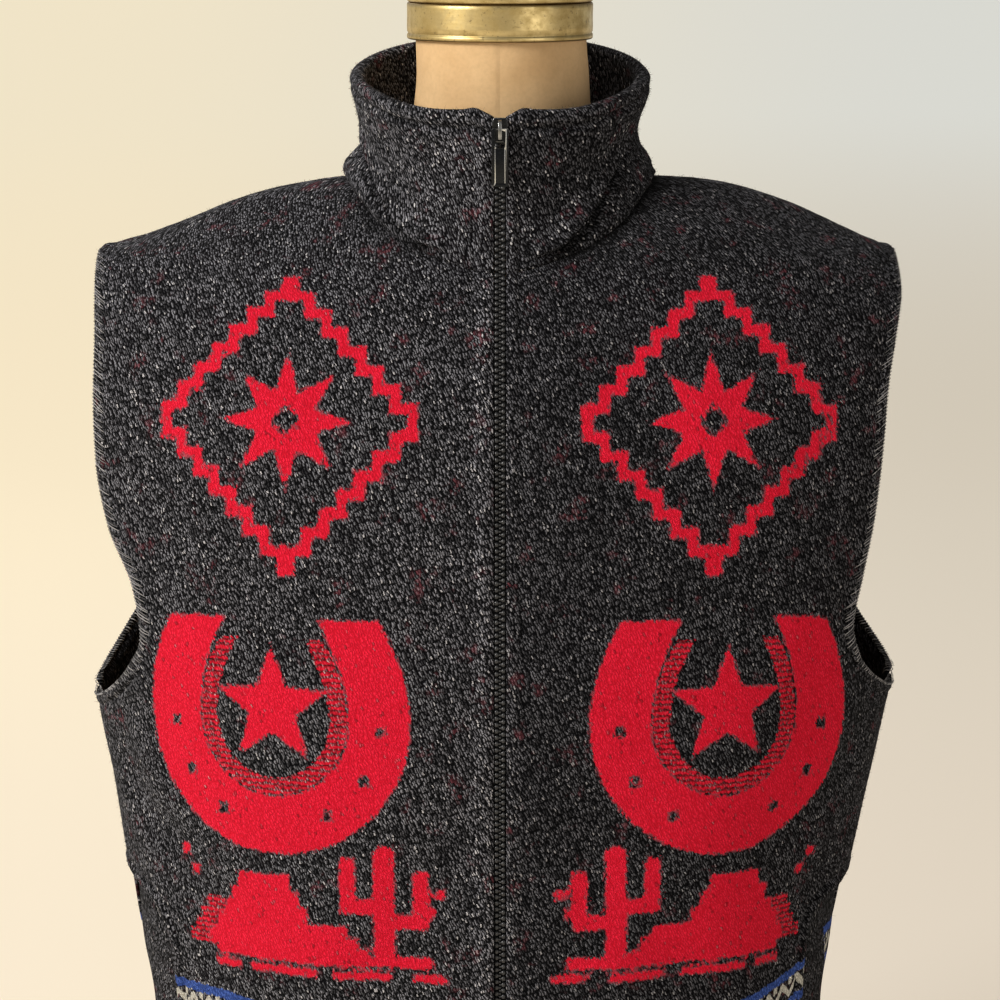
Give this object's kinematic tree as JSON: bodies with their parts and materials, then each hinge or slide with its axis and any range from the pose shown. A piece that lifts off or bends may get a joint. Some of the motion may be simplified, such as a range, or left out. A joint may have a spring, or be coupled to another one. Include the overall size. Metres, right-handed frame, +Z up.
{
  "type": "western vest on a dress form",
  "caption": "Sleeveless western vest of dark blanket wool with a stand collar and front zip, worn by a limbless tabletop dress form with a brass neck band.",
  "frame": {"origin": "middle of the base board's underside, under the neck's axis", "axes": "+Z up, -Y is the vest's front, +X is to the right in a front view"},
  "size_m": [0.504, 0.2811, 0.865],
  "materials": {
    "blanket_wool": "napped charcoal blanket wool with woven red, blue and cream",
    "zip_tape": "black woven tape",
    "zip_chain": "black moulded teeth",
    "zip_metal": "black-plated metal, rubbed at the edges",
    "form_cloth": "tan cotton cover with seams",
    "brass": "aged brass with scuffs",
    "base_wood": "brown varnished wood"
  },
  "bodies": {
    "vest_on_form": {"front_left": "blanket_wool", "front_right": "blanket_wool", "back": "blanket_wool", "collar": "blanket_wool", "pocket_facing_left": "blanket_wool", "pocket_facing_right": "blanket_wool", "zip_tape_left": "zip_tape", "zip_tape_right": "zip_tape", "zip_teeth": "zip_chain", "zip_slider": "zip_metal", "zip_box": "zip_metal", "form_body": "form_cloth", "form_neck_band": "brass", "form_neck_cap": "brass", "form_base": "base_wood"},
    "pull": {"zip_pull": "zip_metal"}
  },
  "joints": [
    {"name": "zip_pull_hinge", "type": "hinge", "parent": "vest_on_form", "child": "pull", "pos_m": [0, -0.08893, 0.7716], "axis": [-1, 0, 0], "range_deg": [0, 150]}
  ]
}
